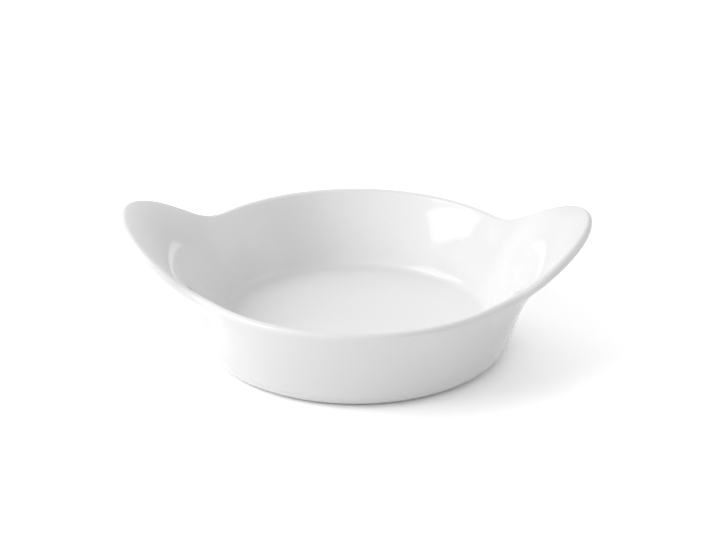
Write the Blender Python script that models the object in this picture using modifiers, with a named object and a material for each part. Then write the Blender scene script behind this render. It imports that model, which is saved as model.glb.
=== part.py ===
"""A tapas dish: a round, shallow dish of white glazed porcelain with two ears to lift it by.

The dish is one body, and its shape is a loft. Round the upright axis stands one section at each
angle. It starts at the middle of the underside, runs over the foot ring, the heel, the outside of
the wall and the rounded lip, and comes down the inside to the middle of the floor. The inside of
the wall leans more than the outside, so the wall is thinnest at the lip. Away from the ears every
section is alike. Towards an ear the lip moves out and climbs, and the wall leans out to meet it,
which makes the hollow under the ear for a finger.

Metres, +Z up. The origin lies on the plane the dish stands on, under its middle, and +X points
at one of the ears.
"""

import math

import bmesh
import bpy

NAME = "dish"
COLLECTION = "tapas_dish"

# Bowl
RIM_RADIUS = 0.0600
RIM_HEIGHT = 0.0300
LIP_THICKNESS = 0.0032
WALL_THICKNESS = 0.0065
OUTSIDE_LEAN = math.radians(18.5)
INSIDE_LEAN = math.radians(24)
INSIDE_LIP_LEAN = math.radians(31)
HEEL_RADIUS = 0.0075

# Floor and foot ring
FLOOR_THICKNESS = 0.0037
FLOOR_FILLET = 0.0080
FOOT_WIDTH = 0.0035
FOOT_HEIGHT = 0.0012

# Ears: the outline from above is a tip arc, a hollow arc and the round rim, each tangent to the next
EAR_REACH = 0.0186
EAR_TIP_RADIUS = 0.0320
EAR_HOLLOW_RADIUS = 0.0280
EAR_RISE = 0.0164
EAR_RISE_POWER = 1.27

# Flare: how the wall leans out to reach an ear. Both its sides are straight up to the start, where the
# wall thickness is measured level, and curved above it
FLARE_START = 0.0100
STRAIGHT_LEAST = 0.0003
FLARE_TIP_LEAN = math.radians(71)
FLARE_HALF_ANGLE = math.radians(60)
FLARE_LOWER_PULL = 0.12
FLARE_UPPER_PULL = 0.40

# Fineness of the mesh
ANGLE_STEPS = 26
WALL_STEPS = 9
LIP_STEPS = 8
CORNER_STEPS = 5
FOOT_STEPS = 2

# Glaze
GLAZE_COLOUR = (0.86, 0.86, 0.85, 1.0)
GLAZE_ROUGHNESS = 0.12
SMOOTH_ANGLE = math.radians(40)
MERGE_DISTANCE = 0.00001


def clear_scene():
    for old in list(bpy.data.objects):
        bpy.data.objects.remove(old)


def arc(centre, radius, start, end, steps):
    """Points of an arc about centre. Angles turn from outwards (0) to upwards (a quarter turn)."""
    points = []
    for i in range(steps + 1):
        angle = start + (end - start) * i / steps
        points.append((centre[0] + radius * math.cos(angle), centre[1] + radius * math.sin(angle)))
    return points


def ear_outline(angle):
    """How far the lip stands out beyond the round rim, at an angle from the ear's axis."""
    tip_centre = RIM_RADIUS + EAR_REACH - EAR_TIP_RADIUS
    hollow_distance = RIM_RADIUS + EAR_HOLLOW_RADIUS
    centres_apart = EAR_TIP_RADIUS + EAR_HOLLOW_RADIUS
    cosine = (hollow_distance**2 + tip_centre**2 - centres_apart**2) / (2 * hollow_distance * tip_centre)
    hollow_angle = math.acos(max(-1.0, min(1.0, cosine)))
    if angle >= hollow_angle:
        return 0.0
    share = EAR_TIP_RADIUS / centres_apart
    meet_x = tip_centre + share * (hollow_distance * math.cos(hollow_angle) - tip_centre)
    meet_y = share * hollow_distance * math.sin(hollow_angle)
    if angle <= math.atan2(meet_y, meet_x):
        across = tip_centre * math.sin(angle)
        return tip_centre * math.cos(angle) + math.sqrt(EAR_TIP_RADIUS**2 - across**2) - RIM_RADIUS
    turn = hollow_angle - angle
    across = hollow_distance * math.sin(turn)
    return hollow_distance * math.cos(turn) - math.sqrt(EAR_HOLLOW_RADIUS**2 - across**2) - RIM_RADIUS


def lip_centre(angle):
    """Radius and height of the middle of the lip."""
    reach = ear_outline(angle)
    rise = EAR_RISE * max(0.0, reach / EAR_REACH) ** EAR_RISE_POWER
    return RIM_RADIUS + reach, RIM_HEIGHT + rise


def lip_lean(angle, own_lean):
    """Lean of a side of the wall where it meets the lip, from upright, growing towards the ear's axis.

    own_lean is what that side leans at the lip away from the ears.
    """
    share = 0.5 + 0.5 * math.cos(math.pi * min(1.0, angle / FLARE_HALF_ANGLE))
    return own_lean + (FLARE_TIP_LEAN - own_lean) * share


def outside_radius():
    """Radius of the outside of the wall at the start of the flare."""
    middle = RIM_RADIUS - (RIM_HEIGHT - FLARE_START) * math.tan(OUTSIDE_LEAN)
    return middle + LIP_THICKNESS / 2 / math.cos(OUTSIDE_LEAN)


def corner(wall_radius, lean, base, radius):
    """The round between one side of the wall and a level surface at height base.

    wall_radius is that side's radius at the start of the flare.
    """
    middle_height = base + radius
    line = wall_radius - (FLARE_START - middle_height) * math.tan(lean)
    centre = (line - radius / math.cos(lean), middle_height)
    return arc(centre, radius, -math.pi / 2, -lean, CORNER_STEPS)


def heel():
    """The round from the foot to the outside of the wall."""
    return corner(outside_radius(), OUTSIDE_LEAN, 0.0, HEEL_RADIUS)


def floor_fillet():
    """The round from the floor to the inside of the wall."""
    return corner(outside_radius() - WALL_THICKNESS, INSIDE_LEAN, FOOT_HEIGHT + FLOOR_THICKNESS, FLOOR_FILLET)


def flared_side(round_end, start_lean, end, end_lean):
    """Points up one side of the wall, from the start of the flare to the lip.

    Between the end of the round at the wall's foot and the first point here the wall is straight.
    """
    height = max(FLARE_START, round_end[1] + STRAIGHT_LEAST)
    start = (round_end[0] + (height - round_end[1]) * math.tan(start_lean), height)
    chord = math.dist(start, end)
    lower = FLARE_LOWER_PULL * chord
    upper = FLARE_UPPER_PULL * chord
    pulls = [
        start,
        (start[0] + lower * math.sin(start_lean), start[1] + lower * math.cos(start_lean)),
        (end[0] - upper * math.sin(end_lean), end[1] - upper * math.cos(end_lean)),
        end,
    ]
    points = []
    for i in range(WALL_STEPS + 1):
        u = i / WALL_STEPS
        v = 1 - u
        weights = (v**3, 3 * v * v * u, 3 * v * u * u, u**3)
        points.append(tuple(sum(w * p[k] for w, p in zip(weights, pulls)) for k in (0, 1)))
    return points


def foot_step():
    """The inner edge of the foot ring: a hollow round and a full round, from the recess down to the foot."""
    half = FOOT_HEIGHT / 2
    foot_edge = heel()[0][0] - FOOT_WIDTH
    hollow = arc((foot_edge - 2 * half, half), half, math.pi / 2, 0.0, FOOT_STEPS)
    full = arc((foot_edge, half), half, math.pi, math.pi * 1.5, FOOT_STEPS)
    return hollow + full[1:]


def section(angle):
    """The whole section at an angle from the nearest ear's axis, without its two ends on the axis."""
    outer_lean = lip_lean(angle, OUTSIDE_LEAN)
    inner_lean = lip_lean(angle, INSIDE_LIP_LEAN)
    lip = arc(lip_centre(angle), LIP_THICKNESS / 2, -outer_lean, math.pi - inner_lean, LIP_STEPS)
    outer_round = heel()
    inner_round = floor_fillet()
    outside = flared_side(outer_round[-1], OUTSIDE_LEAN, lip[0], outer_lean)
    inside = flared_side(inner_round[-1], INSIDE_LEAN, lip[-1], inner_lean)
    return foot_step() + outer_round + outside + lip[1:-1] + inside[::-1] + inner_round[::-1]


def quarter_of_dish():
    """The loft over a quarter turn, from one ear's axis to the middle between the ears."""
    mesh = bpy.data.meshes.new(NAME)
    build = bmesh.new()
    under = build.verts.new((0, 0, FOOT_HEIGHT))
    floor = build.verts.new((0, 0, FOOT_HEIGHT + FLOOR_THICKNESS))
    rows = []
    for i in range(ANGLE_STEPS + 1):
        angle = math.pi / 2 * i / ANGLE_STEPS
        across, along = math.cos(angle), math.sin(angle)
        rows.append([build.verts.new((r * across, r * along, z)) for r, z in section(angle)])
    for row, following in zip(rows, rows[1:]):
        build.faces.new((under, following[0], row[0]))
        build.faces.new((floor, row[-1], following[-1]))
        for j in range(len(row) - 1):
            build.faces.new((row[j], following[j], following[j + 1], row[j + 1]))
    build.to_mesh(mesh)
    build.free()
    return mesh


def glaze():
    material = bpy.data.materials.new("white_glaze")
    material.use_nodes = True
    shader = material.node_tree.nodes["Principled BSDF"]
    shader.inputs["Base Color"].default_value = GLAZE_COLOUR
    shader.inputs["Roughness"].default_value = GLAZE_ROUGHNESS
    shader.inputs["Metallic"].default_value = 0.0
    return material


def make_dish(collection):
    dish = bpy.data.objects.new(NAME, quarter_of_dish())
    collection.objects.link(dish)
    dish.data.materials.append(glaze())
    dish.data.shade_smooth()
    dish.data.set_sharp_from_angle(angle=SMOOTH_ANGLE)
    mirror = dish.modifiers.new("other_quarters", "MIRROR")
    mirror.use_axis = (True, True, False)
    mirror.use_mirror_merge = True
    mirror.merge_threshold = MERGE_DISTANCE
    return dish


def main():
    clear_scene()
    collection = bpy.data.collections.new(COLLECTION)
    bpy.context.scene.collection.children.link(collection)
    make_dish(collection)


main()
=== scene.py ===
"""Dresses the tapas dish: white porcelain under a clear glaze, on a white studio floor.

The dish is drawn again as one finely stepped loft of the same sections as the solid it replaces.
All lengths are in metres, and the origin is under the middle of the dish.
"""

import math

import bpy
import numpy as np
from mathutils import Matrix, Vector, noise


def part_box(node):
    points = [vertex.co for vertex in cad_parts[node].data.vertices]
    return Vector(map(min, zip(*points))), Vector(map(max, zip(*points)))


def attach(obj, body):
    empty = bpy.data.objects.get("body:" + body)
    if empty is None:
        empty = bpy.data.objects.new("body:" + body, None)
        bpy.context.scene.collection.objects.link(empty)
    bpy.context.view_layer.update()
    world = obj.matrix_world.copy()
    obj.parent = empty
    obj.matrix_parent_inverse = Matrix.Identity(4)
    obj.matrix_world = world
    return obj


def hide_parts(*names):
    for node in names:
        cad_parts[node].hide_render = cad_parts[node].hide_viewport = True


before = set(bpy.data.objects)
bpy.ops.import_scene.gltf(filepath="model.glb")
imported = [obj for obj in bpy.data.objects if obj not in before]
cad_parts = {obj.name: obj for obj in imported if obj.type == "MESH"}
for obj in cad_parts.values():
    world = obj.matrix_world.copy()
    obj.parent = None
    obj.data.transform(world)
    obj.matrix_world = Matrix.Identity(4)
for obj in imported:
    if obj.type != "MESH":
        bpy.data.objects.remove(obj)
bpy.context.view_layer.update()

# Section of the dish
LIP = 0.0032
WALL = 0.0067
OUTSIDE_LEAN = math.radians(18.5)
INSIDE_LEAN = math.radians(25)
INSIDE_LIP_LEAN = math.radians(32)
HEEL_RADIUS = 0.0075
FLOOR_THICKNESS = 0.0054
FLOOR_FILLET = 0.0050
FOOT_WIDTH = 0.0035
FOOT_HEIGHT = 0.0012

# Ears
EAR_RISE = 0.0164
EAR_TIP_RADIUS = 0.0320
EAR_HOLLOW_RADIUS = 0.0280
EAR_RISE_POWER = 1.27
FLARE_START = 0.0100
FLARE_TIP_LEAN = math.radians(71)
FLARE_HALF_ANGLE = math.radians(60)
FLARE_LOWER_PULL = 0.12
FLARE_UPPER_PULL = 0.40

# What follows from the solid's own box
LOW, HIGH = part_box("dish")
RIM_RADIUS = HIGH.y - LIP / 2
RIM_HEIGHT = HIGH.z - LIP / 2 - EAR_RISE
EAR_REACH = HIGH.x - LIP / 2 - RIM_RADIUS
WALL_MIDDLE_RADIUS = RIM_RADIUS - (RIM_HEIGHT - FLARE_START) * math.tan(OUTSIDE_LEAN)
OUTSIDE_RADIUS = WALL_MIDDLE_RADIUS + LIP / 2 / math.cos(OUTSIDE_LEAN)
INSIDE_RADIUS = OUTSIDE_RADIUS - WALL

# Unevenness of the glazed surface, which only ever lowers it
WAVE_DEPTH = 0.00004
WAVE_LENGTH = 0.016

# Fineness of the loft
AROUND = 480
WALL_STEPS = 44
LIP_STEPS = 20
CORNER_STEPS = 12
FOOT_STEPS = 5
FOOT_FLAT_STEPS = 4
STRAIGHT_STEPS = 5
DISC_STEPS = 24

# Body under the glaze: its tone, and how far clouds and flecks change it
BODY_TONE = 0.86
CLOUD_SIZE = 0.030
FLECK_SIZE = 0.0011
TONE_CHANGE = 0.006

# Glaze: its gloss, the painted shade darkening the crease round the floor, the pin pits and the orange peel
GLAZE_IOR = 1.5
GLAZE_ROUGHNESS = 0.05
ROUGHNESS_CHANGE = 0.012
ROUGHNESS_PATCH = 0.007
CREASE_RADIUS = 0.0450
CREASE_HEIGHT = 0.0078
CREASE_REACH = 0.0045
CREASE_PAINTED_SHADE = 0.006
PIT_SPACING = 0.012
PIT_RADIUS = 0.00018
PIT_SHARE = 0.12
PIT_DARKENING = 0.10
PEEL_DEPTH = 0.00003
PEEL_SIZE = 0.0040
FINE_PEEL_SIZE = 0.0008
FINE_PEEL_SHARE = 0.15

# Foot, which stands bare of glaze: the glaze ends between two heights
GLAZE_ENDS = 0.00015
GLAZE_FULL = 0.0004
BARE_COLOUR = (0.80, 0.79, 0.77, 1)
BARE_ROUGHNESS = 0.55

# Floor: what it throws back onto the dish, and what it looks like
FLOOR_REACH = 4.0
FLOOR_DROP = 0.0001
FLOOR_TONE = 0.88
FLOOR_SEEN_TONE = 1.40
FIBRE_SIZE = 0.004
FIBRE_CHANGE = 0.004

# How far the noise in the grain runs
GRAIN_LOW = 0.3
GRAIN_HIGH = 0.7

# Studio light: each glow is an azimuth and elevation in degrees, a tightness and a brightness.
# The first set lights the dish, and the second is what its glaze mirrors
SKY_GLOWS = ((0, 10, 4, 0.8), (240, 10, 4, 0.75),
             (75, 42, 5, 1.3), (135, 42, 5, 1.0), (255, 42, 5, 0.7))
GLAZE_GLOWS = ((0, 8, 8, 1.1), (45, 8, 8, 0.6), (90, 8, 8, 0.3), (135, 8, 8, 1.1), (225, 8, 8, 0.5),
               (0, 38, 8, 1.1), (90, 38, 8, 0.6), (180, 38, 8, 0.9), (225, 38, 8, 1.1), (270, 38, 8, 1.4),
               (240, 68, 8, 0.5), (182, 44, 60, 3.2), (205, 44, 60, 3.2))

# The window on the left, as the glaze mirrors it: azimuths and elevations in degrees. A slant is how
# far an edge moves for each degree, and the left edge slants about its own level
WINDOW_BRIGHTNESS = 2.5
WINDOW_RIGHT = 170.8
WINDOW_RIGHT_SLANT = 0.35
WINDOW_RIGHT_SOFTNESS = 3.0
WINDOW_LEFT = 210.0
WINDOW_LEFT_SLANT = 0.8
WINDOW_LEFT_LEVEL = 18.0
WINDOW_BOTTOM = 14.5
WINDOW_BOTTOM_SLANT = 0.13
WINDOW_TOP = 29.8
WINDOW_SOFTNESS = 1.2

# Lamps, which light the body and aren't mirrored: azimuth, elevation, width and height in degrees as
# the dish sees them, and brightness, where 1 is white
LAMP_DISTANCE = 1.2
LOW_LAMP = (195, 22, 50, 15, 2.0)
HIGH_LAMP = (193, 42, 42, 22, 3.6)

# Camera, solved from the outline of the dish
IMAGE_WIDTH = 716
SENSOR_WIDTH = 36.0
CAMERA_DISTANCE = 1.316
CAMERA_TURN = math.radians(-1.26)
CAMERA_ELEVATION = math.radians(24.47)
CAMERA_ROLL = math.radians(0.19)
CAMERA_ASIDE = 0.00074
CAMERA_AIM_HEIGHT = 0.02717
PIXELS_PER_METRE = 2930.0


def arc(centre, radius, start, end, steps):
    """Points of an arc about centre. Angles turn from outwards (0) to upwards (a quarter turn)."""
    angles = np.linspace(start, end, steps + 1)
    return [(centre[0] + radius * math.cos(a), centre[1] + radius * math.sin(a)) for a in angles]


def ear_outline(angle):
    """How far the lip stands out beyond the round rim, at an angle from the ear's axis."""
    tip_centre = RIM_RADIUS + EAR_REACH - EAR_TIP_RADIUS
    hollow_distance = RIM_RADIUS + EAR_HOLLOW_RADIUS
    centres_apart = EAR_TIP_RADIUS + EAR_HOLLOW_RADIUS
    cosine = (hollow_distance**2 + tip_centre**2 - centres_apart**2) / (2 * hollow_distance * tip_centre)
    hollow_angle = math.acos(cosine)
    if angle >= hollow_angle:
        return 0.0
    share = EAR_TIP_RADIUS / centres_apart
    meet_x = tip_centre + share * (hollow_distance * math.cos(hollow_angle) - tip_centre)
    meet_y = share * hollow_distance * math.sin(hollow_angle)
    if angle <= math.atan2(meet_y, meet_x):
        across = tip_centre * math.sin(angle)
        return tip_centre * math.cos(angle) + math.sqrt(EAR_TIP_RADIUS**2 - across**2) - RIM_RADIUS
    turn = hollow_angle - angle
    across = hollow_distance * math.sin(turn)
    return hollow_distance * math.cos(turn) - math.sqrt(EAR_HOLLOW_RADIUS**2 - across**2) - RIM_RADIUS


def lip_centre(angle):
    """Radius and height of the middle of the lip."""
    reach = ear_outline(angle)
    rise = EAR_RISE * max(0.0, reach / EAR_REACH) ** EAR_RISE_POWER
    return RIM_RADIUS + reach, RIM_HEIGHT + rise


def lip_lean(angle, own_lean):
    """Lean of one side of the wall at the lip, from upright. Away from the ears it is own_lean."""
    share = 0.5 + 0.5 * math.cos(math.pi * min(1.0, angle / FLARE_HALF_ANGLE))
    return own_lean + (FLARE_TIP_LEAN - own_lean) * share


def corner(wall_radius, lean, base, radius):
    """The round between one side of the wall and a level surface at height base."""
    middle_height = base + radius
    line = wall_radius - (FLARE_START - middle_height) * math.tan(lean)
    centre = (line - radius / math.cos(lean), middle_height)
    return arc(centre, radius, -math.pi / 2, -lean, CORNER_STEPS)


def flared_side(wall_radius, start_lean, end, end_lean):
    """Points up one side of the wall, from the start of the flare to the lip."""
    start = np.array((wall_radius, FLARE_START))
    end = np.array(end)
    chord = np.linalg.norm(end - start)
    low_pull = start + FLARE_LOWER_PULL * chord * np.array((math.sin(start_lean), math.cos(start_lean)))
    high_pull = end - FLARE_UPPER_PULL * chord * np.array((math.sin(end_lean), math.cos(end_lean)))
    u = np.linspace(0, 1, WALL_STEPS + 1)[:, None]
    v = 1 - u
    places = v**3 * start + 3 * v * v * u * low_pull + 3 * v * u * u * high_pull + u**3 * end
    return [tuple(p) for p in places]


def between(start, end, steps):
    """Evenly spaced points between two points, without the two."""
    return [tuple(p) for p in np.linspace(start, end, steps + 1)[1:-1]]


def section(angle):
    """The section at an angle from the nearest ear's axis, without its two ends on the dish's axis."""
    outer_lean = lip_lean(angle, OUTSIDE_LEAN)
    inner_lean = lip_lean(angle, INSIDE_LIP_LEAN)
    lip = arc(lip_centre(angle), LIP / 2, -outer_lean, math.pi - inner_lean, LIP_STEPS)
    outside = flared_side(OUTSIDE_RADIUS, OUTSIDE_LEAN, lip[0], outer_lean)
    inside = flared_side(INSIDE_RADIUS, INSIDE_LEAN, lip[-1], inner_lean)[::-1]
    heel = corner(OUTSIDE_RADIUS, OUTSIDE_LEAN, 0.0, HEEL_RADIUS)
    fillet = corner(INSIDE_RADIUS, INSIDE_LEAN, FOOT_HEIGHT + FLOOR_THICKNESS, FLOOR_FILLET)[::-1]
    step = FOOT_HEIGHT / 2
    foot_edge = heel[0][0] - FOOT_WIDTH
    hollow = arc((foot_edge - 2 * step, step), step, math.pi / 2, 0.0, FOOT_STEPS)
    full = arc((foot_edge, step), step, math.pi, math.pi * 1.5, FOOT_STEPS)
    under = between((0, FOOT_HEIGHT), hollow[0], DISC_STEPS) + hollow + full[1:]
    foot = between(full[-1], heel[0], FOOT_FLAT_STEPS) + heel
    straight = between(heel[-1], outside[0], STRAIGHT_STEPS)
    bowl = fillet + between(fillet[-1], (0, fillet[-1][1]), DISC_STEPS)
    return under + foot + straight + outside + lip[1:-1] + inside + bowl


def make_dish():
    """The loft over the whole turn."""
    rows = []
    for i in range(AROUND):
        turn = 2 * math.pi * i / AROUND
        from_ear = min(abs(turn - k * math.pi) for k in range(3))
        radii, heights = np.array(section(from_ear)).T
        rows.append(np.stack((radii * math.cos(turn), radii * math.sin(turn), heights), 1))
    count = len(rows[0])
    under = (0.0, 0.0, FOOT_HEIGHT)
    floor = (0.0, 0.0, FOOT_HEIGHT + FLOOR_THICKNESS)
    vertices = [Vector(v) for v in np.concatenate(rows + [[under], [floor]])]
    faces = []
    for i in range(AROUND):
        a = i * count
        b = (i + 1) % AROUND * count
        faces.append((len(vertices) - 2, b, a))
        faces.append((len(vertices) - 1, a + count - 1, b + count - 1))
        for j in range(count - 1):
            faces.append((a + j, b + j, b + j + 1, a + j + 1))
    mesh = bpy.data.meshes.new("porcelain_dish")
    mesh.from_pydata(vertices, [], faces)
    mesh.validate()
    normals = [vertex.normal.copy() for vertex in mesh.vertices]
    for vertex, normal in zip(mesh.vertices, normals):
        if vertex.co.z > FOOT_HEIGHT:
            depth = WAVE_DEPTH * (0.5 + 0.5 * noise.noise(vertex.co / WAVE_LENGTH))
            vertex.co -= normal * depth
    mesh.shade_smooth()
    dish = bpy.data.objects.new("porcelain_dish", mesh)
    bpy.context.scene.collection.objects.link(dish)
    return dish


def put(tree, kind, inputs=None, **settings):
    """Adds a node and gives it its settings and inputs. An input is a value, or a socket to link it to."""
    node = tree.nodes.new(kind)
    for name, value in settings.items():
        setattr(node, name, value)
    for name, value in (inputs or {}).items():
        if isinstance(value, bpy.types.NodeSocket):
            tree.links.new(value, node.inputs[name])
        else:
            node.inputs[name].default_value = value
    return node


def calculate(tree, operation, first, second):
    """The result of a sum on two numbers or sockets."""
    return put(tree, "ShaderNodeMath", {0: first, 1: second}, operation=operation).outputs[0]


def spread(tree, value, low, high, to_low, to_high):
    """The value, moved from the range low to high to the range to_low to to_high, and held there."""
    inputs = {"Value": value, "From Min": low, "From Max": high, "To Min": to_low, "To Max": to_high}
    return put(tree, "ShaderNodeMapRange", inputs).outputs["Result"]


def grain(tree, place, size, detail):
    """Cloudy noise, about 0.3 to 0.7, with features about the given size in metres."""
    inputs = {"Vector": place, "Scale": 1 / size, "Detail": detail, "Roughness": 0.5}
    return put(tree, "ShaderNodeTexNoise", inputs).outputs["Fac"]


def varied(tree, place, size, detail, middle, change):
    """A value that the grain moves by up to change to either side of the middle."""
    fac = grain(tree, place, size, detail)
    return spread(tree, fac, GRAIN_LOW, GRAIN_HIGH, middle - change, middle + change)


def glaze_material():
    """White porcelain under clear glaze: cloudy tone, pin pits, painted shade in the crease round the
    floor, a bare foot.
    """
    material = bpy.data.materials.new("white_glaze")
    material.use_nodes = True
    tree = material.node_tree
    shader = tree.nodes["Principled BSDF"]
    place = put(tree, "ShaderNodeTexCoord").outputs["Object"]
    parts = put(tree, "ShaderNodeSeparateXYZ", {0: place}).outputs

    # Tone of the body under the glaze
    cloud = varied(tree, place, CLOUD_SIZE, 2.0, BODY_TONE, TONE_CHANGE)
    flecks = varied(tree, place, FLECK_SIZE, 3.0, 0.0, TONE_CHANGE)
    tone = calculate(tree, "ADD", cloud, flecks)

    # Painted shade: the tone is darkened in the crease round the floor, where shade falls
    level = put(tree, "ShaderNodeCombineXYZ", {"X": parts["X"], "Y": parts["Y"]}).outputs[0]
    radius = put(tree, "ShaderNodeVectorMath", {0: level}, operation="LENGTH").outputs["Value"]
    out = calculate(tree, "SUBTRACT", radius, CREASE_RADIUS)
    up = calculate(tree, "SUBTRACT", parts["Z"], CREASE_HEIGHT)
    squares = calculate(tree, "ADD", calculate(tree, "POWER", out, 2.0),
                        calculate(tree, "POWER", up, 2.0))
    from_crease = calculate(tree, "SQRT", squares, 0.0)
    crease_shade = spread(tree, from_crease, 0.0, CREASE_REACH, 1.0, 0.0)
    tone = calculate(tree, "SUBTRACT", tone, calculate(tree, "MULTIPLY", crease_shade, CREASE_PAINTED_SHADE))

    # A few pin pits
    pits = put(tree, "ShaderNodeTexVoronoi", {"Vector": place, "Scale": 1 / PIT_SPACING})
    edge = PIT_RADIUS / PIT_SPACING
    near = spread(tree, pits.outputs["Distance"], edge, 2 * edge, 1.0, 0.0)
    pick = put(tree, "ShaderNodeSeparateColor", {0: pits.outputs["Color"]}).outputs[0]
    pit = calculate(tree, "MULTIPLY", near, calculate(tree, "LESS_THAN", pick, PIT_SHARE))
    tone = calculate(tree, "SUBTRACT", tone, calculate(tree, "MULTIPLY", pit, PIT_DARKENING))
    glazed = put(tree, "ShaderNodeCombineColor", {"Red": tone, "Green": tone, "Blue": tone}).outputs[0]

    # The foot stands bare of glaze
    bare = spread(tree, parts["Z"], GLAZE_ENDS, GLAZE_FULL, 1.0, 0.0)
    colours = {0: bare, 6: glazed, 7: BARE_COLOUR}
    colour = put(tree, "ShaderNodeMix", colours, data_type="RGBA").outputs[2]
    gloss = varied(tree, place, ROUGHNESS_PATCH, 2.0, GLAZE_ROUGHNESS, ROUGHNESS_CHANGE)
    roughnesses = {0: bare, 2: gloss, 3: BARE_ROUGHNESS}
    roughness = put(tree, "ShaderNodeMix", roughnesses, data_type="FLOAT").outputs[0]

    # Orange peel of the glaze, and the pits
    fine = calculate(tree, "MULTIPLY", grain(tree, place, FINE_PEEL_SIZE, 1.0), FINE_PEEL_SHARE)
    peel = calculate(tree, "ADD", grain(tree, place, PEEL_SIZE, 1.0), fine)
    height = calculate(tree, "SUBTRACT", peel, pit)
    bump = put(tree, "ShaderNodeBump", {"Height": height, "Strength": 1.0, "Distance": PEEL_DEPTH})
    tree.links.new(colour, shader.inputs["Base Color"])
    tree.links.new(roughness, shader.inputs["Roughness"])
    tree.links.new(bump.outputs["Normal"], shader.inputs["Normal"])
    shader.inputs["IOR"].default_value = GLAZE_IOR
    return material


def floor_material():
    """White paper. To the camera, and in the glaze, it is so pale that only the shadow shows on it."""
    material = bpy.data.materials.new("white_floor")
    material.use_nodes = True
    tree = material.node_tree
    tree.nodes.clear()
    path = put(tree, "ShaderNodeLightPath").outputs
    seen = calculate(tree, "MAXIMUM", path["Is Camera Ray"], path["Is Glossy Ray"])
    seen = calculate(tree, "MAXIMUM", seen, path["Is Transmission Ray"])
    place = put(tree, "ShaderNodeTexCoord").outputs["Object"]
    fibre = varied(tree, place, FIBRE_SIZE, 3.0, 0.0, FIBRE_CHANGE)
    tone = calculate(tree, "ADD", spread(tree, seen, 0.0, 1.0, FLOOR_TONE, FLOOR_SEEN_TONE), fibre)
    colour = put(tree, "ShaderNodeCombineColor", {"Red": tone, "Green": tone, "Blue": tone}).outputs[0]
    paper = put(tree, "ShaderNodeBsdfDiffuse", {"Color": colour})
    out = put(tree, "ShaderNodeOutputMaterial")
    tree.links.new(paper.outputs[0], out.inputs["Surface"])
    return material


def make_floor():
    corners = [(x * FLOOR_REACH, y * FLOOR_REACH, 0) for x, y in ((-1, -1), (1, -1), (1, 1), (-1, 1))]
    mesh = bpy.data.meshes.new("studio_floor")
    mesh.from_pydata(corners, [], [(0, 1, 2, 3)])
    floor = bpy.data.objects.new("studio_floor", mesh)
    bpy.context.scene.collection.objects.link(floor)
    floor.data.materials.append(floor_material())
    floor.location.z = -FLOOR_DROP


def towards(azimuth, elevation):
    """The direction at an azimuth from +X towards +Y and an elevation over the floor, in degrees."""
    a, e = math.radians(azimuth), math.radians(elevation)
    return Vector((math.cos(a) * math.cos(e), math.sin(a) * math.cos(e), math.sin(e)))


def sky(tree, direction, glows):
    """Brightness of the studio round the dish: the sum of soft glows, each about one direction."""
    total = 0.0
    for azimuth, elevation, tightness, brightness in glows:
        facing = put(tree, "ShaderNodeVectorMath", {0: direction, 1: towards(azimuth, elevation)},
                     operation="DOT_PRODUCT").outputs["Value"]
        glow = calculate(tree, "POWER", calculate(tree, "MAXIMUM", facing, 0.0), tightness)
        total = calculate(tree, "ADD", calculate(tree, "MULTIPLY", glow, brightness), total)
    return total


def window(tree, direction):
    """1 inside the window, with soft edges, and 0 round it. Azimuths grow from its right to its left."""
    parts = put(tree, "ShaderNodeSeparateXYZ", {0: direction}).outputs
    west, south = (calculate(tree, "MULTIPLY", parts[axis], -1.0) for axis in ("X", "Y"))
    azimuth = calculate(tree, "MULTIPLY", calculate(tree, "ARCTAN2", south, west), 180 / math.pi)
    elevation = calculate(tree, "MULTIPLY", calculate(tree, "ARCSINE", parts["Z"], 0.0), 180 / math.pi)
    below = calculate(tree, "SUBTRACT", WINDOW_TOP, elevation)
    slant = calculate(tree, "MULTIPLY", below, WINDOW_RIGHT_SLANT)
    right = calculate(tree, "SUBTRACT", calculate(tree, "SUBTRACT", azimuth, WINDOW_RIGHT - 180), slant)
    above = calculate(tree, "SUBTRACT", elevation, WINDOW_LEFT_LEVEL)
    slant = calculate(tree, "MULTIPLY", above, WINDOW_LEFT_SLANT)
    left = calculate(tree, "SUBTRACT", calculate(tree, "ADD", slant, WINDOW_LEFT - 180), azimuth)
    slant = calculate(tree, "MULTIPLY", right, WINDOW_BOTTOM_SLANT)
    bottom = calculate(tree, "SUBTRACT", calculate(tree, "SUBTRACT", elevation, WINDOW_BOTTOM), slant)
    fading = calculate(tree, "MULTIPLY", right, WINDOW_SOFTNESS / WINDOW_RIGHT_SOFTNESS)
    inside = calculate(tree, "MINIMUM", calculate(tree, "MINIMUM", fading, left),
                       calculate(tree, "MINIMUM", bottom, below))
    return spread(tree, inside, -WINDOW_SOFTNESS / 2, WINDOW_SOFTNESS / 2, 0.0, 1.0)


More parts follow.
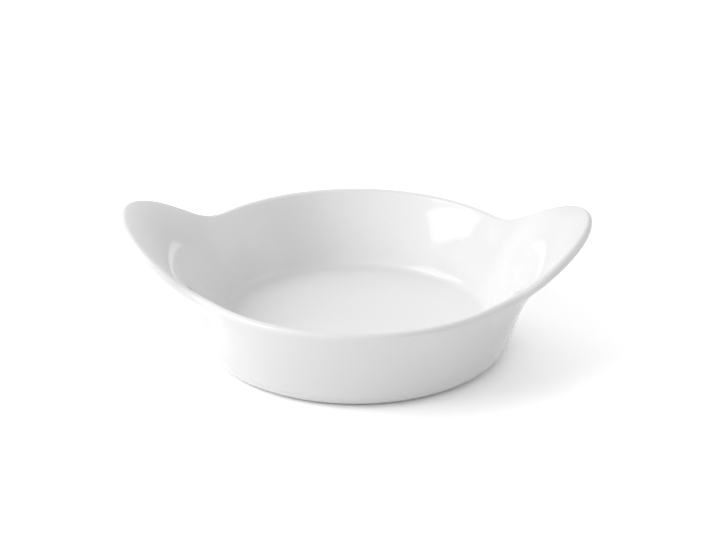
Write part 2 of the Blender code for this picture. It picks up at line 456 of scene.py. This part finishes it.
def make_world():
    """The studio's soft light, with the window for the glaze. The camera sees plain white instead."""
    world = bpy.data.worlds.new("studio")
    bpy.context.scene.world = world
    world.use_nodes = True
    tree = world.node_tree
    direction = put(tree, "ShaderNodeTexCoord").outputs["Generated"]
    path = put(tree, "ShaderNodeLightPath").outputs
    light = sky(tree, direction, SKY_GLOWS)
    shine = calculate(tree, "MULTIPLY", window(tree, direction), WINDOW_BRIGHTNESS)
    mirrored = calculate(tree, "ADD", sky(tree, direction, GLAZE_GLOWS), shine)
    choice = {0: path["Is Glossy Ray"], 2: light, 3: mirrored}
    studio = put(tree, "ShaderNodeMix", choice, data_type="FLOAT").outputs[0]
    seen = calculate(tree, "MAXIMUM", path["Is Camera Ray"], path["Is Transmission Ray"])
    strength = put(tree, "ShaderNodeMix", {0: seen, 2: studio, 3: 1.0}, data_type="FLOAT")
    background = tree.nodes["Background"]
    background.inputs["Color"].default_value = (1, 1, 1, 1)
    tree.links.new(strength.outputs[0], background.inputs["Strength"])


def softbox(name, azimuth, elevation, wide, tall, brightness):
    """An area lamp that faces the dish. Its width and height are in degrees, as the dish sees them."""
    width = 2 * LAMP_DISTANCE * math.tan(math.radians(wide / 2))
    height = 2 * LAMP_DISTANCE * math.tan(math.radians(tall / 2))
    lamp = bpy.data.lights.new(name, "AREA")
    lamp.shape = "RECTANGLE"
    lamp.size = width
    lamp.size_y = height
    lamp.energy = math.pi * width * height * brightness
    holder = bpy.data.objects.new(name, lamp)
    bpy.context.scene.collection.objects.link(holder)
    out = towards(azimuth, elevation)
    holder.location = out * LAMP_DISTANCE
    holder.rotation_euler = out.to_track_quat("Z", "Y").to_euler()
    holder.visible_camera = False
    holder.visible_glossy = False


def make_camera():
    forward = Vector((math.sin(CAMERA_TURN) * math.cos(CAMERA_ELEVATION),
                      math.cos(CAMERA_TURN) * math.cos(CAMERA_ELEVATION), -math.sin(CAMERA_ELEVATION)))
    right = Vector((math.cos(CAMERA_TURN), -math.sin(CAMERA_TURN), 0))
    up = right.cross(forward)
    turned_right = math.cos(CAMERA_ROLL) * right + math.sin(CAMERA_ROLL) * up
    turned_up = turned_right.cross(forward)
    data = bpy.data.cameras.new("camera")
    data.sensor_width = SENSOR_WIDTH
    data.lens = PIXELS_PER_METRE * CAMERA_DISTANCE * SENSOR_WIDTH / IMAGE_WIDTH
    camera = bpy.data.objects.new("camera", data)
    bpy.context.scene.collection.objects.link(camera)
    aim = turned_right * CAMERA_ASIDE + Vector((0, 0, CAMERA_AIM_HEIGHT))
    turn = Matrix((turned_right, turned_up, -forward)).transposed().to_4x4()
    camera.matrix_world = Matrix.Translation(aim - forward * CAMERA_DISTANCE) @ turn
    bpy.context.scene.camera = camera


bpy.context.scene.view_settings.view_transform = "Standard"
dish = make_dish()
dish.data.materials.append(glaze_material())
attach(dish, "root")
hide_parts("dish")
make_floor()
make_world()
softbox("left_window", *LOW_LAMP)
softbox("left_upper_light", *HIGH_LAMP)
make_camera()
